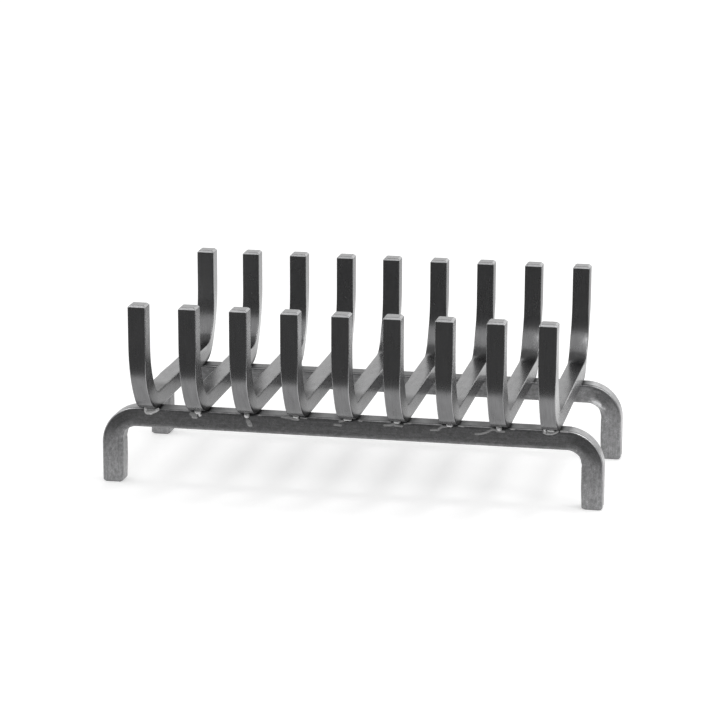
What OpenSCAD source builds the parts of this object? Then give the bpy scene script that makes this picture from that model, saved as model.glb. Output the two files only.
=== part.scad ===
// Log grate for an open fire: square bars, bent up at both ends into prongs, lie across
// two square rails, whose own ends bend down into four legs. Every crossing is welded.
// Millimetres. The origin is on the hearth under the middle of the grate, +X runs along
// the rails, +Y to the rear and +Z up.

/* [Overall] */
// Length over the legs, along the rails
grate_length = 510; // [360:5:700]
// Depth over the prongs, from front to rear
grate_depth = 292; // [220:2:400]

/* [Crossbars] */
// Number of crossbars
bar_count = 9; // [5:1:11]
// Width of the square bar that the crossbars are bent from
bar_w = 18; // [12:1:24]
// Rounding of the crossbars' long edges
bar_edge = 1; // [0.5:0.25:3]
// Inner radius of the two bends in each crossbar, where they leave the rails
bar_bend_low = 26; // [18:1:50]
// Inner radius further up, where the bends ease into the prongs
bar_bend_high = 55; // [18:1:80]
// Share of the quarter turn, in degrees, that is bent to the lower radius
bar_bend_split = 50; // [20:1:70]
// Height of the prongs' tips above the underside of the crossbars
prong_height = 116; // [90:2:180]
// Chamfer round the tip of each prong
tip_chamfer = 2; // [1:0.25:4]

/* [Rails and legs] */
// Width of the square bar that the rails are bent from
rail_w = 20; // [14:1:28]
// Rounding of the rails' long edges
rail_edge = 2; // [0.5:0.25:4]
// Height of the top of the rails above the hearth
rail_top = 80; // [60:2:160]
// Inner radius of the two bends in each rail
rail_bend_in = 18; // [10:1:30]
// Chamfer round the foot of each leg
foot_chamfer = 2; // [1:0.25:4]
// Depth over the two rails, from front to rear
rail_spread = 204; // [140:2:300]
// Distance from the outermost crossbars to the bends of the rails
end_gap = 4; // [1:1:20]

/* [Welds] */
// Length of each weld bead, across the crossbar
weld_len = 10; // [8:1:12]
// How far a bead laps on to the rail and on to the crossbar
weld_lap = 2.5; // [1:0.25:3]
// Number of overlapping drops in a bead
weld_drops = 3; // [2:1:4]

/* [Hidden] */
// Steps in a full turn for the bends, the rounded edges and the beads
bend_fn = 240;
edge_fn = 32;
weld_fn = 72;

// The bends of a crossbar and of a rail, from the level stretch outwards: inner radius and turn
bar_bends = [[bar_bend_low, bar_bend_split], [bar_bend_high, 90 - bar_bend_split]];
rail_bends = [[rail_bend_in, 90]];

// The crossbars: how far the bends reach out and up, the flat stretch between them, and the
// straight of a prong
bar_low_out = bar_bend_low + bar_w;
bar_high_out = bar_bend_high + bar_w;
bar_bend_out = bar_low_out * sin(bar_bend_split) + bar_high_out * (1 - sin(bar_bend_split));
bar_bend_up = bar_low_out * (1 - cos(bar_bend_split)) + bar_high_out * cos(bar_bend_split);
bar_flat = round(100 * (grate_depth - 2 * bar_bend_out)) / 100;
prong_rise = prong_height - bar_bend_up;

// The rails: outer radius of a bend, straight between the bends, straight of a leg
rail_bend_out = rail_bend_in + rail_w;
rail_flat = grate_length - 2 * rail_bend_out;
leg_rise = rail_top - rail_bend_out;

rail_y_out = rail_spread / 2;
rail_y = rail_y_out - rail_w / 2;

// The crossbars share the straight of the rails evenly
bar_pitch = (rail_flat - bar_w - 2 * end_gap) / (bar_count - 1);
function bar_x(i) = (i - (bar_count + 1) / 2) * bar_pitch;

// The bend lifts a crossbar clear of the rail's outer edge, and the bead fills that gap
weld_lift = max(0, rail_y_out - bar_flat / 2);
weld_gap = bar_low_out - sqrt(pow(bar_low_out, 2) - pow(weld_lift, 2));
weld_r = weld_gap / 2 + weld_lap;
weld_step = (weld_len - 2 * weld_r) / (weld_drops - 1);

// Square section with rounded corners
module bar_section(w, edge) {
    square([w - 2 * edge, w], center = true);
    square([w, w - 2 * edge], center = true);
    for (x = [-1, 1], y = [-1, 1])
        translate([x, y] * (w / 2 - edge)) circle(edge, $fn = edge_fn);
}

// What the chamfer leaves of a bar's end, seen from one side and a bar's width deep
module end_outline(w, rise, chamfer) {
    reach = w / 2 + chamfer;
    rotate([90, 0, 0])
        linear_extrude(2 * w, center = true)
            polygon([
                [-reach, -chamfer], [reach, -chamfer], [reach, rise - 2 * chamfer],
                [w / 2 - chamfer, rise], [chamfer - w / 2, rise], [-reach, rise - 2 * chamfer]
            ]);
}

// The straight end of a bar, standing up, with its tip chamfered all round
module bar_tip(w, edge, rise, chamfer) {
    intersection() {
        linear_extrude(rise) bar_section(w, edge);
        end_outline(w, rise, chamfer);
        rotate([0, 0, 90]) end_outline(w, rise, chamfer);
    }
}

// How far round the bar has turned before its nth bend, and the middle of that bend, as [x, z]
function turned(bends, nth) = nth == 0 ? 0 : turned(bends, nth - 1) + bends[nth - 1][1];
function bend_middle(w, bends, nth) =
    nth == 0 ? [0, bends[0][0] + w / 2]
    : bend_middle(w, bends, nth - 1) + (bends[nth - 1][0] - bends[nth][0])
        * [sin(turned(bends, nth)), -cos(turned(bends, nth))];

// A move in a coarse and a fine step, so that one bend runs into the next without a gap
module move(x, z) {
    coarse = [round(10 * x), 0, round(10 * z)] / 10;
    translate(coarse) translate([x, 0, z] - coarse) children();
}

// The bends at one end of a bar that comes in along X, and the straight end that follows them
module bent_end(w, edge, bends, rise, chamfer) {
    last = len(bends) - 1;
    for (nth = [0 : last]) {
        middle = bend_middle(w, bends, nth);
        move(middle.x, middle.y)
            rotate([90, 0, 0]) rotate([0, 0, -90])
                rotate_extrude(angle = bends[nth][1], start = turned(bends, nth), $fn = bend_fn)
                    translate([bends[nth][0] + w / 2, 0]) bar_section(w, edge);
    }
    end = bend_middle(w, bends, last);
    move(end.x + bends[last][0] + w / 2, end.y) bar_tip(w, edge, rise, chamfer);
}

// A square bar along X with both ends bent up, its level centre line through the origin
module bent_bar(w, edge, flat, bends, rise, chamfer) {
    rotate([0, 90, 0]) linear_extrude(flat, center = true) bar_section(w, edge);
    for (end = [0, 1])
        mirror([end, 0, 0])
            translate([flat / 2, 0, 0]) bent_end(w, edge, bends, rise, chamfer);
}

// A rail and its two legs: side is -1 at the front and 1 at the rear
module rail(side) {
    translate([0, side * rail_y, rail_top - rail_w / 2])
        mirror([0, 0, 1])
            bent_bar(rail_w, rail_edge, rail_flat, rail_bends, leg_rise, foot_chamfer);
}

module front_rail() {
    color("dimgray") rail(-1);
}

module rear_rail() {
    color("dimgray") rail(1);
}

// A crossbar and its two prongs, counted from the left
module crossbar(i) {
    color("gray")
        translate([bar_x(i), 0, rail_top + bar_w / 2])
            rotate([0, 0, 90])
                bent_bar(bar_w, bar_edge, bar_flat, bar_bends, prong_rise, tip_chamfer);
}

// A bead on the rail's outer top edge, filling the gap under a crossbar
module weld(i, side) {
    difference() {
        translate([bar_x(i), side * rail_y_out, rail_top + weld_gap / 2])
            for (drop = [0 : weld_drops - 1])
                translate([drop * weld_step - weld_len / 2 + weld_r, 0, 0])
                    sphere(weld_r, $fn = weld_fn);
        rail(side);
        crossbar(i);
    }
}

module front_weld(i) {
    color("silver") weld(i, -1);
}

module rear_weld(i) {
    color("silver") weld(i, 1);
}

front_rail();
rear_rail();
for (i = [1 : bar_count]) {
    crossbar(i);
    front_weld(i);
    rear_weld(i);
}
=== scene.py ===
"""A log grate for an open fire, dressed for rendering.

Nine square steel bars, bent up at both ends into prongs, lie welded across two square rails whose own
ends bend down into legs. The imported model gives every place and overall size. Lengths are in metres.
"""

import math

import bmesh
import bpy
from bpy.props import FloatProperty, FloatVectorProperty, PointerProperty
from mathutils import Matrix, Vector


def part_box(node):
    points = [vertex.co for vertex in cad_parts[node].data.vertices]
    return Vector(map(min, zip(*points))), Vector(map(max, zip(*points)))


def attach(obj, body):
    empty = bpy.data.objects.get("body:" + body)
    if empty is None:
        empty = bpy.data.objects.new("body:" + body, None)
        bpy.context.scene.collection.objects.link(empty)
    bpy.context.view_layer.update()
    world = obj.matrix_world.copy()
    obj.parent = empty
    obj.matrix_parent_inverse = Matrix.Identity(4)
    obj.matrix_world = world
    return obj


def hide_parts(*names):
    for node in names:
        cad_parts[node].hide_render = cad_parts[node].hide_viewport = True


bl_info = {
    "name": "Log grate",
    "version": (1, 0, 0),
    "blender": (4, 5, 0),
    "location": "View3D > Sidebar > Grate",
    "description": "Makes a welded log grate of bent square bars around its packed model",
    "category": "Object",
}

MM = 0.001

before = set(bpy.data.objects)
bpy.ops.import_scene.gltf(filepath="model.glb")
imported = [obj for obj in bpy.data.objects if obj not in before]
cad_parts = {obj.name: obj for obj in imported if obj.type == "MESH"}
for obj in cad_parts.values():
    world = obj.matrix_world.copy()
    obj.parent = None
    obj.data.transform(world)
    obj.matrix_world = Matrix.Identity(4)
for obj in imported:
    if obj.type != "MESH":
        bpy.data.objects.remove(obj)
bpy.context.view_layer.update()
BAR_COUNT = sum(name.startswith("crossbar_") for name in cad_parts)

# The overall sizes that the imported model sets
first_low, first_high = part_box("crossbar_1")
last_low, last_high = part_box("crossbar_%d" % BAR_COUNT)
rail_low, rail_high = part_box("front_rail")
BAR_W = first_high.x - first_low.x
GRATE_DEPTH = first_high.y - first_low.y
PRONG_HEIGHT = first_high.z - first_low.z
FIRST_BAR_X = (first_low.x + first_high.x) / 2
BAR_PITCH = (last_low.x - first_low.x) / (BAR_COUNT - 1)
RAIL_W = rail_high.y - rail_low.y
RAIL_Y = -(rail_low.y + rail_high.y) / 2
RAIL_TOP = rail_high.z
GRATE_LENGTH = rail_high.x - rail_low.x

QUARTER = math.pi / 2
WHITE = (1, 1, 1, 1)

# How finely the bars are drawn: steps round the bends at one end, the gap between the rings of points on
# the straights, and how small a difference in length counts for nothing
BEND_STEPS = 30
RING_GAP = 4 * MM
TINY = 1e-6

# Softening of the edges of the chamfers, and the sharpest edge that is still shaded as round
TIP_SOFTENING = 0.35 * MM
ROUND_BELOW = math.radians(35)

# What the bars store at each point for their materials: where it lies in the straight bar, how far it is
# from the end, how much shade is painted on it, how wrinkled it is and how much dark scale it has kept,
# which falls below 0 where a highlight is painted
BAR_CO = "bar_co"
FROM_END = "from_end"
PAINTED_SHADE = "painted_shade"
WRINKLES = "wrinkles"
SKIN_AND_HIGHLIGHT = "skin_and_highlight"

# The photograph's viewpoint, as the grate's outline gives it. The lens and the sensor are in millimetres
CAMERA_AZIMUTH = math.radians(11.007)
CAMERA_ELEVATION = math.radians(14.039)
CAMERA_ROLL = math.radians(0.181)
CAMERA_TARGET = Vector((0.01457, -0.11114, 0.14254))
CAMERA_DISTANCE = 2.56995
CAMERA_LENS = 130.09
SENSOR_WIDTH = 36

# The front beads, as the welder left them, from the left. Each stroke is a line of points, a radius and
# how far it stands out of the rail, in millimetres. A point is so far to the right of the crossbar's
# middle and so far below the rail's top
BEADS = [
    [
        ([(-4.6, 0.6), (-4.4, 3.4)], 1.8, 1.4),
        ([(-3.2, 4.2), (0.6, 4.2)], 2.5, 1.4),
        ([(1.6, 4.0), (5.4, 2.6), (8.0, 0.8)], 2.0, 1.6),
        ([(-2.6, 1.9), (3.8, 1.3)], 1.9, 0.8),
    ],
    [
        ([(-2.3, 0.2), (0.4, 0.6)], 2.4, 5.6),
        ([(0.5, 2.0), (1.0, 4.0)], 1.7, 2.6),
        ([(-8.2, 3.6), (-4.4, 4.2)], 2.2, 0.4),
        ([(-6.4, 6.6), (-3.0, 6.8)], 1.6, 0.8),
    ],
    [
        ([(-1.8, 0.4), (-1.2, 2.2)], 2.6, 5.4),
        ([(-0.8, 7.6), (0.8, 9.8), (1.4, 11.8)], 2.3, 0.5),
        ([(0.6, 11.8), (3.0, 12.2)], 1.4, 0.8),
        ([(10.4, 1.0), (13.0, 1.1)], 0.9, 0.6),
    ],
    [
        ([(-3.2, -0.4), (-0.8, 0.0)], 1.9, 5.6),
        ([(-6.0, 2.8), (0.2, 3.1)], 1.5, 0.5),
        ([(-16.4, 1.6), (-10.0, 1.9), (-5.0, 1.9)], 1.2, 0.4),
        ([(-15.6, -0.6), (-15.4, 0.2)], 0.8, 0.6),
        ([(2.4, 1.2), (8.6, 1.8)], 0.8, 0.3),
    ],
    [
        ([(-3.0, -0.3), (2.4, -0.1)], 1.5, 5.4),
        ([(-8.8, 2.9), (-4.0, 1.6)], 1.3, 0.4),
        ([(-14.0, 6.6), (-7.6, 6.7)], 1.2, 0.35),
        ([(10.6, 0.9), (13.6, 1.2)], 0.9, 0.6),
    ],
    [
        ([(-3.0, -0.5), (0.4, -0.4)], 1.8, 5.8),
        ([(-3.4, 3.6), (3.2, 4.2)], 1.4, 0.5),
        ([(-14.6, 4.4), (-8.0, 3.8), (-4.8, 2.2)], 1.3, 0.35),
        ([(5.6, 1.8), (9.0, 1.0)], 0.8, 0.3),
        ([(9.8, 0.9), (12.0, 1.0)], 0.9, 0.6),
    ],
    [
        ([(-1.4, -0.2), (1.8, 0.1)], 2.0, 5.8),
        ([(-2.9, 2.2), (-7.7, 2.4), (-9.6, 4.4), (-11.4, 6.2), (-18.6, 6.6)], 1.2, 0.4),
        ([(9.4, 0.8), (14.0, 1.1)], 1.0, 0.6),
    ],
    [
        ([(-2.4, -0.4), (-0.6, 1.4)], 2.3, 5.8),
        ([(-3.8, 3.9), (3.2, 4.1)], 1.2, 0.4),
        ([(-4.8, 2.8), (-8.4, 2.4), (-12.2, 4.9), (-15.8, 6.6), (-21.0, 8.0), (-25.0, 8.1)], 1.2, 0.4),
        ([(10.4, 0.9), (13.6, 1.2)], 1.0, 0.6),
    ],
    [
        ([(-7.6, -0.9), (-6.8, 1.0)], 1.3, 3.0),
        ([(-8.4, 2.4), (-5.9, 3.9), (-0.7, 3.9), (3.2, 2.5), (5.4, 1.0)], 1.3, 1.0),
        ([(-3.8, 0.0), (1.0, 0.3)], 1.1, 2.6),
        ([(-5.0, 1.9), (2.0, 1.8)], 1.5, 0.5),
        ([(8.6, 0.7), (15.0, 1.0)], 1.0, 0.7),
    ],
]

# How far each crossbar's front and rear prongs stand to the right of their places, in millimetres
LEANS = [
    (-0.2, -0.3),
    (0.0, -0.8),
    (0.35, 0.3),
    (0.6, 0.95),
    (0.5, 0.5),
    (0.5, 0.8),
    (0.65, 0.3),
    (-0.2, 0.4),
    (-0.9, 0.55),
]


def length(name, description, default):
    """A length that a user can change."""
    return FloatProperty(name=name, description=description, default=default, min=0, unit="LENGTH")


def share(name, description, default):
    """A number from 0 to 1 that a user can change."""
    return FloatProperty(name=name, description=description, default=default, min=0, max=1)


def strength(name, description, default):
    """A brightness that a user can change."""
    return FloatProperty(name=name, description=description, default=default, min=0)


def angle(name, description, degrees):
    """An angle up to a quarter turn that a user can change."""
    limits = {"min": 0, "max": QUARTER, "subtype": "ANGLE"}
    return FloatProperty(name=name, description=description, default=math.radians(degrees), **limits)


def colour(name, description, default):
    """A colour that a user can change."""
    limits = {"min": 0, "max": 1, "subtype": "COLOR"}
    return FloatVectorProperty(name=name, description=description, default=default, **limits)


class GrateSizes(bpy.types.PropertyGroup):
    """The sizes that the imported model's boxes don't give."""

    bar_edge: length("Crossbar edge", "Rounding of the crossbars' long edges", 1 * MM)
    bar_bend_low: length("Crossbar bend", "Inner radius of the crossbars' bends, next to the rails", 26 * MM)
    bar_bend_high: length("Upper bend", "Inner radius of the crossbars' bends, next to the prongs", 55 * MM)
    bar_bend_split: angle("Bent low", "Share of the quarter turn that is bent to the lower radius", 50)
    bar_swell: length("Crossbar swelling", "How far each side swells at the bends' inside", 0.8 * MM)
    bar_thinning: length("Crossbar thinning", "How far each side draws in at the bends' outside", 1.1 * MM)
    bar_crown: length("Crossbar crown", "How far the middle of its inner face rises in the bends", 0.7 * MM)
    tip_chamfer: length("Tip chamfer", "Chamfer round the tips of the prongs", 2 * MM)
    rail_edge: length("Rail edge", "Rounding of the rails' long edges", 2 * MM)
    rail_bend_in: length("Rail bend", "Inner radius of the bends in the rails", 18 * MM)
    rail_swell: length("Rail swelling", "How far each side swells at the bends' inside", 1.6 * MM)
    rail_thinning: length("Rail thinning", "How far each side draws in at the bends' outside", 0.5 * MM)
    rail_pinch: length("Rail pinch", "How far the press marks a rail inside its bends", 1.6 * MM)
    foot_chamfer: length("Foot chamfer", "Chamfer round the feet", 2 * MM)


class GrateFinish(bpy.types.PropertyGroup):
    """The colours and the roughness of the metals, and the brightness of what they mirror."""

    bar_steel: colour("Crossbar steel", "Colour of the drawn crossbars", (0.2, 0.2, 0.203))
    bar_roughness: share("Crossbar roughness", "Roughness of the drawn crossbars", 0.26)
    rail_steel: colour("Rail steel", "Colour of the rolled rails", (0.2, 0.2, 0.203))
    rail_roughness: share("Rail roughness", "Roughness of the rolled rails", 0.3)
    weld_metal: colour("Weld metal", "Colour of the beads", (0.55, 0.55, 0.55))
    weld_roughness: share("Weld roughness", "Roughness of the beads", 0.5)
    floor: colour("Floor", "Colour of the floor under the grate", (0.8, 0.8, 0.8))
    card: share("Dark cards", "Brightness of the dark cards that the front faces mirror", 0.185)
    ceiling: share("Ceiling", "Brightness of the ceiling that the steel mirrors", 0.3)
    rim_card: strength("Rim cards", "Brightness of the cards overhead that the rails' edges mirror", 5.0)
    high_card: strength("High card", "Brightness of the card that the crowned rear bends mirror", 5.0)
    side_card: strength("Bright card", "Brightness of the card behind the grate on the right", 1.65)


def select_nothing():
    """Deselects every object, so that an operator acts only on what comes next."""
    bpy.ops.object.select_all(action="DESELECT")


def make_active(piece):
    """Selects one object alone."""
    select_nothing()
    piece.select_set(True)
    bpy.context.view_layer.objects.active = piece


def pick(kind, test):
    """Selects, in edit mode, the vertices or edges that pass the test."""
    bpy.ops.mesh.select_mode(type=kind)
    bpy.ops.mesh.select_all(action="DESELECT")
    shape = bmesh.from_edit_mesh(bpy.context.edit_object.data)
    for item in {"VERT": shape.verts, "EDGE": shape.edges}[kind]:
        if test(item):
            item.select_set(True)
    shape.select_flush_mode()
    bmesh.update_edit_mesh(bpy.context.edit_object.data)


def push(step):
    """Extrudes what is selected by a vector."""
    bpy.ops.mesh.extrude_region_move(TRANSFORM_OT_translate={"value": step})


def apply_modifier(piece, kind, **settings):
    """Adds a modifier, sets it and applies it."""
    make_active(piece)
    modifier = piece.modifiers.new(kind.lower(), kind)
    for name, value in settings.items():
        setattr(modifier, name, value)
    bpy.ops.object.modifier_apply(modifier=modifier.name)


def held(value):
    """A value kept between 0 and 1."""
    return min(1.0, max(0.0, value))


class BentBar:
    """The plan of a square bar with both ends bent the same way, up, about its level stretch."""

    def __init__(self, centre, along, up, width, edge, span, height, bends, chamfer):
        """span and height are over the outside, and the bends are pairs of inner radius and angle."""
        self.centre = centre
        self.along = along
        self.up = up
        self.across = along.cross(up)
        self.width = width
        self.edge = edge
        self.chamfer = chamfer

        # Counted from where the level stretch ends, each bend knows how far along the bar it starts, how
        # far the bar has turned before it, its own turn, its radius and the hub that it turns about
        self.arcs = []
        run, before, out, raised = 0.0, 0.0, 0.0, 0.0
        for inner, turn in bends:
            radius = inner + width / 2
            hub = (out - radius * math.sin(before), raised + radius * math.cos(before))
            self.arcs.append({"run": run, "before": before, "turn": turn, "radius": radius, "hub": hub})
            run += radius * turn
            before += turn
            out = hub[0] + radius * math.sin(before)
            raised = hub[1] - radius * math.cos(before)
        self.bend_run = run
        self.bend_out = out
        self.bend_up = raised
        self.flat = span - width - 2 * out
        self.rise = height - width / 2 - raised

    def hub(self, nth, end):
        """The point that a bend turns about: end is -1 at the first end and 1 at the other."""
        out, raised = self.arcs[nth]["hub"]
        return self.centre + self.along * end * (self.flat / 2 + out) + self.up * raised

    def unbend(self, point):
        """Where a point of the bent bar lies in the straight bar: along it, across it and inwards."""
        offset = point - self.centre
        out = abs(offset.dot(self.along)) - self.flat / 2
        height = offset.dot(self.up)
        run, inwards = out, height
        if out > 0:
            for arc in self.arcs:
                beyond = out - arc["hub"][0]
                below = arc["hub"][1] - height
                turned = math.atan2(beyond, below)
                if turned >= arc["before"]:
                    run = arc["run"] + arc["radius"] * (turned - arc["before"])
                    inwards = arc["radius"] - math.hypot(beyond, below)
            if height >= self.bend_up:
                run = self.bend_run + height - self.bend_up
                inwards = self.bend_out - out
        run = math.copysign(self.flat / 2 + run, offset.dot(self.along))
        return Vector((run, offset.dot(self.across), inwards))

    def bend_share(self, place):
        """How far round the bends a place in the straight bar is: 0 where they start and 1 where they end."""
        return (abs(place.x) - self.flat / 2) / self.bend_run

    def from_end(self, place):
        """How far a place in the straight bar is from the nearer end."""
        return self.flat / 2 + self.bend_run + self.rise - abs(place.x)

    def is_on(self, end, point):
        """Whether a point lies on the ring round an end."""
        offset = point - end
        return offset.length < self.width and abs(offset.dot(self.up)) < TINY


def bent_bar(plan, face_cuts):
    """Draws a square ring at one tip, pulls it down, round, along, round and up, and closes both ends.
    face_cuts is how many lines of points run along each flat face."""
    rise = plan.rise - plan.chamfer
    tip_out = plan.flat / 2 + plan.bend_out
    tip = plan.centre - plan.along * tip_out + plan.up * (plan.bend_up + rise)
    other_tip = tip + plan.along * 2 * tip_out

    # The ring, with rounded corners
    select_nothing()
    bpy.ops.mesh.primitive_plane_add(size=plan.width, location=tip)
    bar = bpy.context.object
    bpy.ops.object.transform_apply(location=True, rotation=True, scale=True)
    bpy.ops.object.mode_set(mode="EDIT")
    bpy.ops.mesh.select_all(action="SELECT")
    bpy.ops.mesh.bevel(offset=plan.edge, affect="VERTICES", segments=4)
    pick("EDGE", lambda edge: edge.calc_length() > plan.width / 2)
    bpy.ops.mesh.subdivide(number_cuts=face_cuts)
    bpy.ops.mesh.select_all(action="SELECT")
    bpy.ops.mesh.delete(type="ONLY_FACE")
    bpy.ops.mesh.select_all(action="SELECT")

    # The straights and the bends, and then the rings on the straights
    steps = BEND_STEPS // len(plan.arcs)
    axis = plan.up.cross(plan.along)
    order = range(len(plan.arcs))
    push(-plan.up * rise)
    for nth in reversed(order):
        bpy.ops.mesh.spin(center=plan.hub(nth, -1), angle=plan.arcs[nth]["turn"], steps=steps, axis=axis)
    push(plan.along * plan.flat)
    for nth in order:
        bpy.ops.mesh.spin(center=plan.hub(nth, 1), angle=plan.arcs[nth]["turn"], steps=steps, axis=axis)
    push(plan.up * rise)
    for stretch in (plan.flat, rise):
        pick("EDGE", lambda edge: abs(edge.calc_length() - stretch) < TINY)
        bpy.ops.mesh.subdivide(number_cuts=round(stretch / RING_GAP) - 1)

    # The chamfered ends, with their edges softened
    shrink = 1 - 2 * plan.chamfer / plan.width
    for end in (tip, other_tip):
        pick("VERT", lambda vert: plan.is_on(end, vert.co))
        push(plan.up * plan.chamfer)
        bpy.ops.transform.resize(value=(shrink, shrink, 1), center_override=end + plan.up * plan.chamfer)
        bpy.ops.mesh.edge_face_add()
    top = tip.dot(plan.up)
    for level in (top, top + plan.chamfer):
        pick("EDGE", lambda edge: all(abs(vert.co.dot(plan.up) - level) < TINY for vert in edge.verts))
        bpy.ops.mesh.bevel(offset=TIP_SOFTENING, segments=2, affect="EDGES")

    bpy.ops.mesh.select_all(action="SELECT")
    bpy.ops.mesh.remove_doubles(threshold=TINY)
    bpy.ops.mesh.normals_make_consistent(inside=False)
    bpy.ops.object.mode_set(mode="OBJECT")
    return bar


# Where the swelling starts and ends, as shares of the way round the bends, and where it starts to fall
# off towards the inner face, as a share of the bar's width
SWELL_START = -0.02
SWELL_END = 1.15
LIP_START = 0.6


def swell_bends(bar, plan, swelling, thinning, crown, lip=1.0):
    """Works the bends as cold bending does: wide on the inside, narrow on the outside, and crowned on the
    inner face. lip is how much of the swelling is left where the sides meet the inner face."""
    half = plan.width / 2
    most = swelling + thinning
    wider = bar.vertex_groups.new(name="wider")
    narrower = bar.vertex_groups.new(name="narrower")
    crowned = bar.vertex_groups.new(name="crowned")
    wrinkles = []

    # The swelling comes in gently along the bar, and the wrinkles stay close to the inner face
    for vert in bar.data.vertices:
        place = plan.unbend(vert.co)
        round_bend = min(SWELL_END, max(SWELL_START, plan.bend_share(place)))
        amount = math.sin(math.pi * (round_bend - SWELL_START) / (SWELL_END - SWELL_START)) ** 1.5
        inner = 0.5 + place.z / plan.width
        swollen = inner - (1.0 - lip) * max(0.0, inner - LIP_START) / (1.0 - LIP_START)
        sideways = amount * (swelling * swollen - thinning * (1 - inner)) * place.y / half
        (wider if sideways > 0 else narrower).add([vert.index], abs(sideways) / most, "REPLACE")
        if place.z > half - plan.edge / 2:
            crowned.add([vert.index], amount * max(0.0, 1 - (place.y / half) ** 2), "REPLACE")
        wrinkles.append(amount * max(0.0, inner) ** 8)

    if crown > 0:
        apply_modifier(bar, "DISPLACE", vertex_group="crowned", strength=crown, mid_level=0)
    across = "X" if abs(plan.across.x) > 0.5 else "Y"
    outwards = (plan.across.x + plan.across.y) * most
    for group, step in (("wider", outwards), ("narrower", -outwards)):
        apply_modifier(bar, "DISPLACE", vertex_group=group, direction=across, strength=step, mid_level=0)
    bar.vertex_groups.clear()
    store(bar, WRINKLES, wrinkles)


# How the press leaves the inner face of a rail: share of the bend, and how far the face stands proud, as
# a share of the pinch. It bites in the middle of the bend and pushes the metal up on to the leg
PINCH = [(0.0, 0.0), (0.25, -0.35), (0.5, -0.5), (0.8, 0.5), (1.0, 1.0), (1.35, 1.0), (2.0, 0.45)]


def pinch_bends(bar, plan, pinch):
    """Marks the inner face of a rail's bends as the press does, fading round its rounded edges."""
    proud = bar.vertex_groups.new(name="proud")
    bitten = bar.vertex_groups.new(name="bitten")
    for vert in bar.data.vertices:
        place = plan.unbend(vert.co)
        reach = (place.z - plan.width / 2 + plan.edge) / plan.edge
        way = min(plan.bend_share(place), PINCH[-1][0])
        if reach > 0 and way > 0:
            low, high = next(pair for pair in zip(PINCH, PINCH[1:]) if way <= pair[1][0])
            part = (way - low[0]) / (high[0] - low[0])
            eased = part * part * (3 - 2 * part)
            amount = (low[1] + (high[1] - low[1]) * eased) * min(reach, 1.0) ** 2
            (proud if amount > 0 else bitten).add([vert.index], abs(amount), "REPLACE")
    for group, step in (("proud", pinch), ("bitten", -pinch)):
        apply_modifier(bar, "DISPLACE", vertex_group=group, strength=step, mid_level=0)
    bar.vertex_groups.clear()


def store(bar, name, values):
    """Stores a number, or a vector, for each point of a bar under a name that its material reads."""
    kind = "FLOAT_VECTOR" if isinstance(values[0], Vector) else "FLOAT"
    bar.data.attributes.new(name, kind, "POINT")
    for item, value in zip(bar.data.attributes[name].data, values):
        if kind == "FLOAT":
            item.value = value
        else:
            item.vector = value


def mark_bar(bar, plan, shift, painted_shade_at):
    """Stores where each point lies in the straight bar, shifted so that no two bars look alike, how far it
    is from the end and how much shade is painted on it."""
    places = [plan.unbend(vert.co) for vert in bar.data.vertices]
    painted_shades = [held(painted_shade_at(vert.co, place)) for vert, place in zip(bar.data.vertices, places)]
    store(bar, BAR_CO, [place + Vector((shift, 0, 0)) for place in places])
    store(bar, FROM_END, [plan.from_end(place) for place in places])
    store(bar, PAINTED_SHADE, painted_shades)


def bar_painted_shade(co, place):
    """Painted shade on the crossbars: their sides are darkened along their outer edge, where they rest on the
    rails, most at the welds and on the right, and faintly all over the front bends. Their tops are darkened
    faintly towards the front welds."""
    reach_up, reach_out, reach_in = 5 * MM, 26 * MM, 28 * MM
    left_part, bend_part, top_part = 0.4, 0.27, 0.48

    past_weld = abs(place.x) - RAIL_Y - RAIL_W / 2
    from_outer = place.z + BAR_W / 2
    at_weld = 1.5 - from_outer / reach_up - max(past_weld / reach_out, -past_weld / reach_in)
    at_front_bend = held(2.0 - abs(past_weld - 20 * MM) / (14 * MM)) if co.y < 0 else 0.0

    on_side = held((abs(place.y) - BAR_W / 2 + 0.8 * MM) / (0.6 * MM))
    if place.y <= 0:
        on_side *= left_part
    on_top = held((place.z - BAR_W / 2 + 2 * MM) / (1 * MM))
    to_front = held((-co.y - 52 * MM) / (25 * MM))
    return max(on_side * at_weld, on_side * bend_part * at_front_bend, top_part * on_top * to_front)


def rail_painted_shade(co, place):
    """Painted shade on the rails' tops: darker along the row of crossbars, more so at the rear, and darkest
    beside each crossbar, reaching further on its right."""
    nearest = min(BAR_COUNT - 1, max(0, round((place.x - FIRST_BAR_X) / BAR_PITCH)))
    aside = place.x - FIRST_BAR_X - nearest * BAR_PITCH
    reach = (5 if aside > 0 else 4) * MM
    at_bar = 1.0 - (abs(aside) - BAR_W / 2) / reach
    row_part = 0.27 if co.y < 0 else 0.5
    along_row = row_part * held(1.5 + (BAR_PITCH / 2 - abs(aside)) / (10 * MM))
    return max(at_bar, along_row) - (RAIL_TOP - co.z) / (1.5 * MM)


def rail_skin_and_highlight(plan, place, bare_leg):
    """How much of its dark scale a rail has kept: 1 is all of it, and 0 is none, as from a foot to the end of
    the bare leg. It is below 0 on the inner side of a bend, where a highlight is painted."""
    past_bare = plan.from_end(place) - bare_leg
    mid_bend = 1.0 - abs(plan.bend_share(place) - 0.36) / 0.42
    inner_side = 1.0 - abs(place.z / plan.width - 0.3) / 0.24
    return held(past_bare / (36 * MM)) - 1.6 * held(mid_bend) * held(inner_side)


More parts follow.
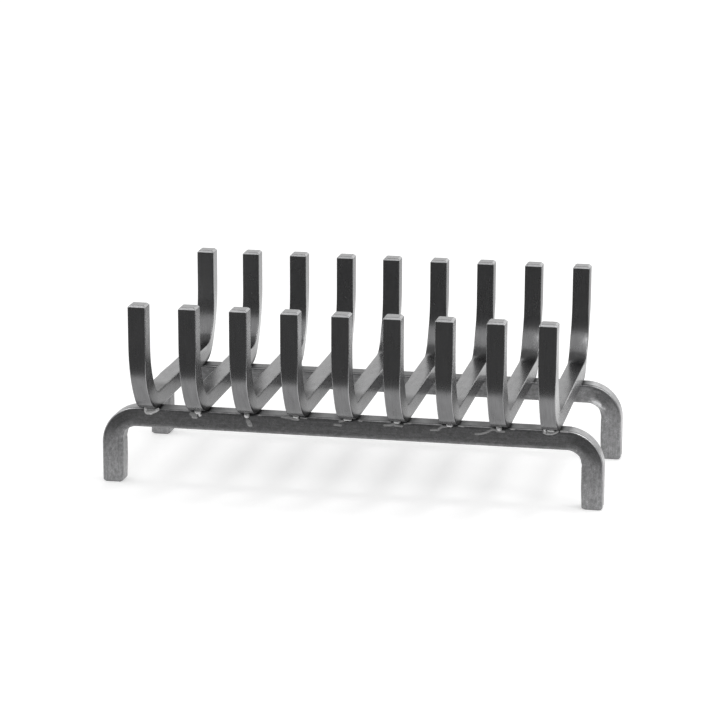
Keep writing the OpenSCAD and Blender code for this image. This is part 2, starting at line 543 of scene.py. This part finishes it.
def lean_bar(bar, plan, front, rear):
    """Shifts and turns a crossbar so that its prongs stand a little off their places, as hand work does.
    front and rear are in millimetres."""
    make_active(bar)
    depth = plan.flat + 2 * plan.bend_out + plan.width
    turn = math.atan((front - rear) * MM / depth)

    # Turned, its corners would reach past the grate's depth, so it is shortened by as much
    fit = depth / (depth + plan.width * abs(math.sin(turn)))
    bpy.ops.transform.rotate(value=-turn, orient_axis="Z", center_override=plan.centre)
    bpy.ops.transform.resize(value=(1, fit, 1), center_override=plan.centre)
    bpy.ops.transform.translate(value=((front + rear) / 2 * MM, 0, 0))
    bpy.ops.object.transform_apply(location=True, rotation=True, scale=True)


def smooth(piece):
    """Smooths the rounded edges and keeps the flat faces flat."""
    make_active(piece)
    bpy.ops.object.shade_smooth_by_angle(angle=ROUND_BELOW)
    apply_modifier(piece, "WEIGHTED_NORMAL", keep_sharp=True)


def copy_of(master, step):
    """A copy with its own mesh, moved by a step that goes into the mesh."""
    make_active(master)
    bpy.ops.object.duplicate(linked=False)
    bpy.ops.transform.translate(value=step)
    bpy.ops.object.transform_apply(location=True, rotation=True, scale=True)
    return bpy.context.object


def finish_piece(piece, name, node, material):
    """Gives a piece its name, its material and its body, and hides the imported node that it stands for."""
    piece.name = name
    piece.data.name = name
    piece.data.materials.clear()
    piece.data.materials.append(material)
    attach(piece, "root")
    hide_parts(node)


# Noise stays between the first two levels nearly everywhere, and the third is how much its fine grains count
NOISE_LOW = 0.3
NOISE_HIGH = 0.7
NOISE_GRAIN = 0.55

# How much of its tone the steel keeps where the painted shade is darkest, and how much of what it
# mirrors at a glancing angle
DARKEST = 0.35
DARKEST_GLANCE = 0.58


class Finish:
    """Builds the nodes of a material, or of the world, one at a time."""

    def __init__(self, owner):
        self.owner = owner
        self.owner.use_nodes = True
        self.tree = self.owner.node_tree
        self.tree.nodes.clear()

    def add(self, kind, values=None, **settings):
        """Adds a node, sets it, and sets or links its inputs by name or number."""
        node = self.tree.nodes.new("ShaderNode" + kind)
        for name, value in settings.items():
            setattr(node, name, value)
        for name, value in (values or {}).items():
            if isinstance(value, bpy.types.NodeSocket):
                self.tree.links.new(value, node.inputs[name])
            else:
                node.inputs[name].default_value = value
        return node

    def stored(self, name, output="Fac"):
        """What a bar stores for each point under this name."""
        return self.add("Attribute", attribute_name=name).outputs[output]

    def axes(self, place):
        """A place's X, Y and Z. In the straight bar, Z runs from the outside of the bends to the inside."""
        return self.add("SeparateXYZ", {0: place}).outputs

    def math(self, operation, first, second=0.0, third=0.0):
        """A sum, product or other reckoning of up to three values."""
        return self.add("Math", {0: first, 1: second, 2: third}, operation=operation).outputs[0]

    def total(self, first, *others):
        """All the values added up."""
        for other in others:
            first = self.math("ADD", first, other)
        return first

    def product(self, first, *others):
        """All the values multiplied."""
        for other in others:
            first = self.math("MULTIPLY", first, other)
        return first

    def lighter(self, where, amount):
        """A tone that is 1, and higher by the amount where the first value is 1."""
        return self.math("MULTIPLY_ADD", where, amount, 1.0)

    def ramp(self, value, low, high, to_low=0.0, to_high=1.0):
        """Turns the range low to high into to_low to to_high, and stops there."""
        values = {"Value": value, "From Min": low, "From Max": high, "To Min": to_low, "To Max": to_high}
        return self.add("MapRange", values).outputs[0]

    def vary(self, noise, to_low, to_high):
        """Turns what a noise gives into to_low to to_high."""
        return self.ramp(noise, NOISE_LOW, NOISE_HIGH, to_low, to_high)

    def stretched_noise(self, place, size, along, detail=3.0, shift=0.0):
        """Noise whose grains are this size across the bar, and this many times longer along it. A shift
        gives another noise of the same kind."""
        scale = (1 / (size * along), 1 / size, 1 / size)
        spread = self.add("Mapping", {"Vector": place, "Location": (shift, shift, shift), "Scale": scale})
        values = {"Vector": spread.outputs[0], "Scale": 1.0, "Detail": detail, "Roughness": NOISE_GRAIN}
        return self.add("TexNoise", values).outputs["Fac"]

    def painted_edge_highlights(self, sides, low, high):
        """1 on the two long edges outside the bends, where a highlight is painted, and 0 elsewhere. It grows
        between two distances from the bar's middle, low and high."""
        corner = self.math("MINIMUM", self.math("ABSOLUTE", sides["Y"]), self.math("ABSOLUTE", sides["Z"]))
        return self.product(self.ramp(corner, low, high), self.math("LESS_THAN", sides["Z"], 0.0))

    def painted_shade_tone(self, patches):
        """Darkens the steel where shade is painted by the welds, more in some patches than in others."""
        shade_amount = self.product(self.stored(PAINTED_SHADE), self.vary(patches, 0.75, 1.15))
        return self.ramp(shade_amount, 0.15, 0.8, 1.0, DARKEST)

    def bump(self, height, strength, distance):
        """Small hollows and rises, too shallow to model."""
        return self.add("Bump", {"Height": height, "Strength": strength, "Distance": distance}).outputs[0]

    def shaded(self, base, tone):
        """A colour times a tone."""
        return self.add("VectorMath", {0: tuple(base), "Scale": tone}, operation="SCALE").outputs[0]

    def bare_steel(self, base, tone, painted_shade_tone, roughness, bump):
        """Ends a material as bare steel, darker where shade is painted."""
        values = {
            "Base Color": self.shaded(base, self.product(tone, painted_shade_tone)),
            "Metallic": 1.0,
            "Roughness": roughness,
            # Where shade is painted, the steel also mirrors less at a glancing angle
            "Specular Tint": self.ramp(painted_shade_tone, DARKEST, 1.0, DARKEST_GLANCE, 1.0),
            "Normal": bump,
        }
        return self.end(self.add("BsdfPrincipled", values))

    def end(self, shader, output="OutputMaterial"):
        """Joins the shader to the output."""
        self.add(output, {"Surface": shader.outputs[0]})
        return self.owner


def drawn_steel(finish, chamfer):
    """Satin drawn bar: fine streaks along it, a few deeper lines and faint blotches. Its outer edges carry
    painted highlights, its tips are ground, and the insides of its bends are wrinkled."""
    half = BAR_W / 2
    made = Finish(bpy.data.materials.new("drawn_steel"))
    place = made.stored(BAR_CO, "Vector")
    sides = made.axes(place)
    from_end = made.stored(FROM_END)
    streaks = made.stretched_noise(place, 0.7 * MM, 30)
    lines = made.stretched_noise(place, 1.6 * MM, 40, detail=1.0, shift=3.0)
    blotches = made.stretched_noise(place, 7 * MM, 2.5, shift=7.0)
    creases = made.stretched_noise(place, 2.0 * MM, 1.0, detail=2.0, shift=9.0)

    # The chamfers on the front and the rear of a tip are ground: lighter, and rougher than the rest
    at_tip = made.product(
        made.ramp(from_end, 0.0, 0.4 * MM),
        made.ramp(from_end, chamfer - 0.3 * MM, chamfer + 0.1 * MM, 1.0, 0.0),
    )
    facing = made.math("SUBTRACT", made.math("ABSOLUTE", sides["Z"]), made.math("ABSOLUTE", sides["Y"]))
    ground = made.product(at_tip, made.ramp(facing, -0.5 * MM, 0.5 * MM, 0.15, 1.0))
    # Painted highlights on the long outer edges
    edge_highlight = made.painted_edge_highlights(sides, half - 0.95 * MM, half - 0.5 * MM)
    tone = made.product(
        made.vary(blotches, 0.92, 1.06),
        made.vary(streaks, 0.88, 1.12),
        made.ramp(from_end, 0.0, 0.3 * MM, 1.25, 1.0),
        made.lighter(edge_highlight, made.ramp(lines, 0.35, 0.65, 0.6, 1.3)),
        made.lighter(ground, 1.9),
    )
    satin = made.vary(blotches, finish.bar_roughness + 0.02, finish.bar_roughness - 0.02)
    roughness = made.total(satin, made.product(ground, 0.25))

    on_inner_face = made.ramp(sides["Z"], half - 0.3 * MM, half - 0.05 * MM)
    wrinkled = made.product(made.stored(WRINKLES), on_inner_face)
    height = made.total(
        made.product(streaks, 0.5),
        made.ramp(lines, 0.58, 0.75, 0.0, -1.0),
        made.product(creases, wrinkled, 13.0),
    )
    bump = made.bump(height, 0.35, 0.02 * MM)
    return made.bare_steel(finish.bar_steel, tone, made.painted_shade_tone(blotches), roughness, bump)


def rolled_steel(finish):
    """Rolled bar: mottled with scale, specked, and streaked along it. It is lighter where it has lost its
    dark scale, has painted highlights on the inner side of its bends and on its outer edges, and is wrinkled
    inside its bends."""
    half = RAIL_W / 2
    made = Finish(bpy.data.materials.new("rolled_steel"))
    place = made.stored(BAR_CO, "Vector")
    skin_and_highlight = made.stored(SKIN_AND_HIGHLIGHT)
    mottle = made.stretched_noise(place, 3.2 * MM, 1.6, detail=4.0)
    specks = made.stretched_noise(place, 0.9 * MM, 1.5, detail=2.0, shift=5.0)
    streaks = made.stretched_noise(place, 0.8 * MM, 25, shift=11.0)
    lines = made.stretched_noise(place, 2.2 * MM, 40, detail=1.0, shift=3.0)
    creases = made.stretched_noise(place, 1.6 * MM, 1.0, detail=2.0, shift=9.0)

    # The mottling frays the border of the painted highlights inside the bends, where the stored value is
    # below 0
    frayed_highlight = made.total(skin_and_highlight, made.vary(mottle, 0.5, 0.0))
    # Painted highlights on the long outer edges, stronger where the dark scale is kept
    edge_highlight = made.painted_edge_highlights(made.axes(place), half - 1.3 * MM, half - 0.7 * MM)
    tone = made.product(
        made.vary(mottle, 0.76, 1.24),
        made.vary(specks, 0.82, 1.18),
        made.vary(streaks, 0.88, 1.12),
        made.ramp(skin_and_highlight, 0.0, 1.0, 1.25, 1.0),
        made.ramp(frayed_highlight, -0.8, 0.0, 2.5, 1.0),
        made.lighter(edge_highlight, made.ramp(skin_and_highlight, 0.3, 1.2)),
    )
    roughness = made.vary(mottle, finish.rail_roughness + 0.04, finish.rail_roughness - 0.03)
    height = made.total(
        made.product(mottle, 1.5),
        made.product(specks, 0.5),
        made.ramp(lines, 0.58, 0.75, 0.0, -0.6),
        made.product(creases, made.stored(WRINKLES), 14.0),
    )
    bump = made.bump(height, 0.5, 0.06 * MM)
    return made.bare_steel(finish.rail_steel, tone, made.painted_shade_tone(mottle), roughness, bump)


def bead_metal(finish):
    """Bare weld metal: light and rippled where it stands up, and dull where it only smears the rail."""
    made = Finish(bpy.data.materials.new("bead_metal"))
    place = made.add("TexCoord").outputs["Object"]
    from_middle = made.math("ABSOLUTE", made.axes(place)["Y"])
    proud = made.math("SUBTRACT", from_middle, RAIL_Y + RAIL_W / 2)
    ripple = made.stretched_noise(place, 1.2 * MM, 1)
    tone = made.product(made.vary(ripple, 0.8, 1.15), made.ramp(proud, 0.4 * MM, 2.6 * MM, 0.55, 1.5))
    values = {
        "Base Color": made.shaded(finish.weld_metal, tone),
        "Metallic": 0.5,
        "Roughness": made.vary(ripple, finish.weld_roughness + 0.06, finish.weld_roughness - 0.06),
        "Normal": made.bump(ripple, 0.5, 0.15 * MM),
    }
    return made.end(made.add("BsdfPrincipled", values))


class GRATE_OT_crossbars(bpy.types.Operator):
    """Models one crossbar, copies it along the rails and finishes each copy in its place."""

    bl_idname = "grate.crossbars"
    bl_label = "Crossbars"

    def execute(self, context):
        sizes = context.scene.grate_sizes
        split = sizes.bar_bend_split
        plan = BentBar(
            centre=Vector((FIRST_BAR_X, 0, RAIL_TOP + BAR_W / 2)),
            along=Vector((0, 1, 0)),
            up=Vector((0, 0, 1)),
            width=BAR_W,
            edge=sizes.bar_edge,
            span=GRATE_DEPTH,
            height=PRONG_HEIGHT,
            bends=[(sizes.bar_bend_low, split), (sizes.bar_bend_high, QUARTER - split)],
            chamfer=sizes.tip_chamfer,
        )
        master = bent_bar(plan, face_cuts=5)
        copies = [copy_of(master, (i * BAR_PITCH, 0, 0)) for i in range(1, BAR_COUNT)]
        material = drawn_steel(context.scene.grate_finish, sizes.tip_chamfer)
        for i, bar in enumerate([master] + copies):
            plan.centre.x = FIRST_BAR_X + i * BAR_PITCH
            mark_bar(bar, plan, i, bar_painted_shade)
            swell_bends(bar, plan, sizes.bar_swell, sizes.bar_thinning, sizes.bar_crown)
            lean_bar(bar, plan, *LEANS[i % len(LEANS)])
            smooth(bar)
            node = "crossbar_%d" % (i + 1)
            finish_piece(bar, node + "_bar", node, material)
        return {"FINISHED"}


class GRATE_OT_rails(bpy.types.Operator):
    """Models the front rail with its two legs, and copies it to the rear."""

    bl_idname = "grate.rails"
    bl_label = "Rails"

    def execute(self, context):
        sizes = context.scene.grate_sizes
        plan = BentBar(
            centre=Vector((0, -RAIL_Y, RAIL_TOP - RAIL_W / 2)),
            along=Vector((1, 0, 0)),
            up=Vector((0, 0, -1)),
            width=RAIL_W,
            edge=sizes.rail_edge,
            span=GRATE_LENGTH,
            height=RAIL_TOP,
            bends=[(sizes.rail_bend_in, QUARTER)],
            chamfer=sizes.foot_chamfer,
        )
        front = bent_bar(plan, face_cuts=7)
        rear = copy_of(front, (0, 2 * RAIL_Y, 0))
        material = rolled_steel(context.scene.grate_finish)
        for rail, node, y, bare_leg in (
            (front, "front_rail", -RAIL_Y, 12 * MM),
            (rear, "rear_rail", RAIL_Y, 75 * MM),
        ):
            plan.centre.y = y
            places = [plan.unbend(vert.co) for vert in rail.data.vertices]
            mark_bar(rail, plan, y * 10, rail_painted_shade)
            store(rail, SKIN_AND_HIGHLIGHT, [rail_skin_and_highlight(plan, place, bare_leg) for place in places])
            swell_bends(rail, plan, sizes.rail_swell, sizes.rail_thinning, 0.0, lip=0.2)
            pinch_bends(rail, plan, sizes.rail_pinch)
            smooth(rail)
            finish_piece(rail, node + "_bar", node, material)
        return {"FINISHED"}


def points_along(line, gap):
    """Points along a line of straight stretches, at most a gap apart."""
    points = [line[0]]
    for start, end in zip(line, line[1:]):
        count = max(1, math.ceil(math.dist(start, end) / gap))
        for k in range(1, count + 1):
            points.append(tuple(a + (b - a) * k / count for a, b in zip(start, end)))
    return points


# The drops of a bead: the gap between them, as a share of their radius, and how much their sizes vary
DROP_GAP = 0.6
DROP_VARIATION = 0.12


def weld_bead(spot, strokes, hand):
    """Lays drops along the strokes on a rail's outer top edge and melts them together. hand is 1 for a
    bead as it was laid, and -1 for its mirror image."""
    drops = []
    for line, radius, height in strokes:
        for k, (x, down) in enumerate(points_along(line, DROP_GAP * radius)):
            size = radius * (1 + DROP_VARIATION * math.sin(2.4 * k + x)) * MM
            place = spot + Vector((hand * x * MM, 0, -down * MM))
            select_nothing()
            bpy.ops.mesh.primitive_ico_sphere_add(subdivisions=3, radius=size, location=place)
            bpy.ops.transform.resize(value=(1, height / radius, 1))
            drops.append(bpy.context.object)
    select_nothing()
    for drop in drops:
        drop.select_set(True)
    bpy.context.view_layer.objects.active = drops[0]
    bpy.ops.object.join()
    bpy.ops.object.transform_apply(location=True, rotation=True, scale=True)
    bead = bpy.context.object
    apply_modifier(bead, "REMESH", mode="VOXEL", voxel_size=0.25 * MM)
    apply_modifier(bead, "SMOOTH", factor=0.5, iterations=3)
    make_active(bead)
    bpy.ops.object.shade_smooth()
    return bead


class GRATE_OT_welds(bpy.types.Operator):
    """Models the beads along the front rail as they were laid, and the same ones, mixed up, at the rear."""

    bl_idname = "grate.welds"
    bl_label = "Welds"

    def execute(self, context):
        material = bead_metal(context.scene.grate_finish)
        for side, end in ((-1, "front"), (1, "rear")):
            for i in range(BAR_COUNT):
                # Steps of four go through all nine beads, so that no two rear ones are the same
                which = i if side < 0 else 4 * i + 5
                spot = Vector((FIRST_BAR_X + i * BAR_PITCH, side * (RAIL_Y + RAIL_W / 2), RAIL_TOP))
                bead = weld_bead(spot, BEADS[which % len(BEADS)], -side)
                node = "%s_weld_%d" % (end, i + 1)
                finish_piece(bead, node + "_bead", node, material)
        return {"FINISHED"}


def camera_ray_or_mirror(made):
    """1 where the camera looks, straight or by way of a mirroring or clear surface, and 0 elsewhere."""
    path = made.add("LightPath")
    seen = made.math("MAXIMUM", path.outputs["Is Camera Ray"], path.outputs["Is Glossy Ray"])
    return made.math("MAXIMUM", seen, path.outputs["Is Transmission Ray"])


def floor_material(finish):
    """A white floor that keeps the grate's shadow. The lift makes it white where it is seen."""
    lift = 0.46
    made = Finish(bpy.data.materials.new("floor_white"))
    matt = made.add("BsdfDiffuse", {"Color": (*finish.floor, 1)})
    glow = made.add("Emission", {"Color": WHITE, "Strength": made.product(camera_ray_or_mirror(made), lift)})
    return made.end(made.add("AddShader", {0: matt.outputs[0], 1: glow.outputs[0]}))


def card_material(name, brightness):
    """An even light, from dark grey to bright white."""
    made = Finish(bpy.data.materials.new(name))
    return made.end(made.add("Emission", {"Color": WHITE, "Strength": brightness}))


def rear_floor_material():
    """The floor behind the grate as the steel mirrors it: bright close behind on the right, and further
    off on the left."""
    made = Finish(bpy.data.materials.new("rear_floor_light"))
    place = made.axes(made.add("TexCoord").outputs["Object"])
    close_by = made.ramp(place["Y"], 0.2, 0.32, 0.24, 0.0)
    rising = made.ramp(place["Y"], 0.36, 0.54, 0.54, 1.4)
    falling = made.ramp(place["Y"], 0.62, 0.76, 0.0, -0.4)
    near = made.ramp(place["Y"], 0.36, 0.46, 0.95, 0.0)
    far = made.ramp(place["Y"], 0.64, 0.72)
    near_right = made.product(near, made.ramp(place["X"], 0.26, 0.295))
    far_left = made.product(far, made.ramp(place["X"], 0.04, 0.12, 0.25, -0.25))
    light = made.total(close_by, rising, falling, near_right, far_left)
    return made.end(made.add("Emission", {"Color": WHITE, "Strength": light}))


# How a card is turned
LYING = (0, 0, 0)
SLOPING = (QUARTER / 2, 0, 0)
UPRIGHT = (QUARTER, 0, 0)
FACE_DOWN = (math.pi, 0, 0)

# How far the lying cards are above the floor
CARD_LIFT = 1 * MM


def stage_card(name, centre, size, turn, material):
    """A flat card on the stage that only mirroring surfaces see."""
    select_nothing()
    bpy.ops.mesh.primitive_plane_add(size=1, location=centre, rotation=turn)
    card = bpy.context.object
    card.name = name
    card.scale = (*size, 1)
    bpy.ops.object.transform_apply(location=True, rotation=True, scale=True)
    card.data.materials.append(material)
    card.visible_camera = False
    card.visible_diffuse = False
    card.visible_shadow = False
    card.visible_transmission = False


def soft_light(name, place, aim, size, power):
    """A square soft light that shines from a place towards another."""
    select_nothing()
    bpy.ops.object.light_add(type="AREA", location=place)
    light = bpy.context.object
    light.name = name
    light.data.shape = "SQUARE"
    light.data.size = size
    light.data.energy = power
    light.rotation_euler = (Vector(aim) - Vector(place)).to_track_quat("-Z", "Y").to_euler()
    light.visible_camera = False
    light.visible_glossy = False


def studio_world():
    """White all round for what the camera and the steel see, and a plain soft light for the rest."""
    soft, white = 0.8, 1.0
    made = Finish(bpy.data.worlds.new("studio"))
    brightness = made.ramp(camera_ray_or_mirror(made), 0.0, 1.0, soft, white)
    back = made.add("Background", {"Color": WHITE, "Strength": brightness})
    return made.end(back, "OutputWorld")


def photo_camera():
    """A camera that looks at the grate from where the photograph does."""
    level = math.cos(CAMERA_ELEVATION)
    back = Vector(
        (
            math.sin(CAMERA_AZIMUTH) * level,
            -math.cos(CAMERA_AZIMUTH) * level,
            math.sin(CAMERA_ELEVATION),
        )
    )
    right = (-back).cross(Vector((0, 0, 1))).normalized()
    upright = right.cross(-back)
    turned_right = math.cos(CAMERA_ROLL) * right + math.sin(CAMERA_ROLL) * upright
    turned_up = -math.sin(CAMERA_ROLL) * right + math.cos(CAMERA_ROLL) * upright
    select_nothing()
    bpy.ops.object.camera_add()
    camera = bpy.context.object
    camera.name = "camera"
    camera.data.sensor_width = SENSOR_WIDTH
    camera.data.sensor_fit = "HORIZONTAL"
    camera.data.lens = CAMERA_LENS
    pose = Matrix((turned_right, turned_up, back)).transposed().to_4x4()
    pose.translation = CAMERA_TARGET + back * CAMERA_DISTANCE
    camera.matrix_world = pose
    return camera


class GRATE_OT_stage(bpy.types.Operator):
    """Makes the white floor, the cards that the steel mirrors, the lights, the world and the camera."""

    bl_idname = "grate.stage"
    bl_label = "Stage"

    def execute(self, context):
        scene = context.scene
        finish = scene.grate_finish
        select_nothing()
        bpy.ops.mesh.primitive_plane_add(size=12, location=(0, 0, 0))
        floor = context.object
        floor.name = "floor"
        floor.data.materials.append(floor_material(finish))

        grey = card_material("card_grey", finish.card)
        stage_card("floor_card", (0, -1.265, CARD_LIFT), (6, 2.0), LYING, grey)
        stage_card("front_card", (0, -1.8, 0.5), (6, 1.0), UPRIGHT, grey)
        ceiling = card_material("card_ceiling", finish.ceiling)
        stage_card("ceiling_card", (0, 0.4, 2.2), (6, 2.6), FACE_DOWN, ceiling)
        stage_card("rear_floor_card", (0.4, 0.8, CARD_LIFT), (3.0, 1.4), LYING, rear_floor_material())
        bright = card_material("card_bright", finish.side_card)
        stage_card("back_card", (1.5, 3.0, 1.05), (2.9, 1.5), UPRIGHT, bright)
        rim = card_material("card_rim", finish.rim_card)
        stage_card("right_rim_card", (1.4, -0.35, 1.5), (1.7, 0.7), FACE_DOWN, rim)
        stage_card("left_rim_card", (-1.45, -0.3, 1.5), (1.1, 0.6), FACE_DOWN, rim)
        high = card_material("card_high", finish.high_card)
        stage_card("high_card", (0.67, -1.5, 1.45), (0.6, 0.4), SLOPING, high)

        soft_light("top_light", (0.5, 0.1, 1.6), aim=(0, 0, 0.1), size=0.35, power=3.0)
        soft_light("right_light", (1.4, -0.75, 0.9), aim=(0.1, 0, 0.1), size=0.35, power=2.5)
        scene.world = studio_world()
        scene.camera = photo_camera()
        scene.view_settings.view_transform = "Standard"
        return {"FINISHED"}


class GRATE_PT_panel(bpy.types.Panel):
    """Lists the grate's sizes and finishes, and the operators that make its pieces."""

    bl_label = "Log grate"
    bl_idname = "GRATE_PT_panel"
    bl_space_type = "VIEW_3D"
    bl_region_type = "UI"
    bl_category = "Grate"

    def draw(self, context):
        for group in (context.scene.grate_sizes, context.scene.grate_finish):
            for name in group.__annotations__:
                self.layout.prop(group, name)
        for operator in OPERATORS:
            self.layout.operator(operator.bl_idname)


OPERATORS = (GRATE_OT_stage, GRATE_OT_rails, GRATE_OT_crossbars, GRATE_OT_welds)
CLASSES = (GrateSizes, GrateFinish, *OPERATORS, GRATE_PT_panel)


def register():
    """Adds the classes and the grate's settings."""
    for kind in CLASSES:
        bpy.utils.register_class(kind)
    bpy.types.Scene.grate_sizes = PointerProperty(type=GrateSizes)
    bpy.types.Scene.grate_finish = PointerProperty(type=GrateFinish)


def unregister():
    """Takes the settings and the classes away again."""
    del bpy.types.Scene.grate_finish
    del bpy.types.Scene.grate_sizes
    for kind in reversed(CLASSES):
        bpy.utils.unregister_class(kind)


def main():
    """Makes the stage and the whole grate."""
    register()
    bpy.ops.grate.stage()
    bpy.ops.grate.rails()
    bpy.ops.grate.crossbars()
    bpy.ops.grate.welds()


if __name__ == "__main__":
    main()
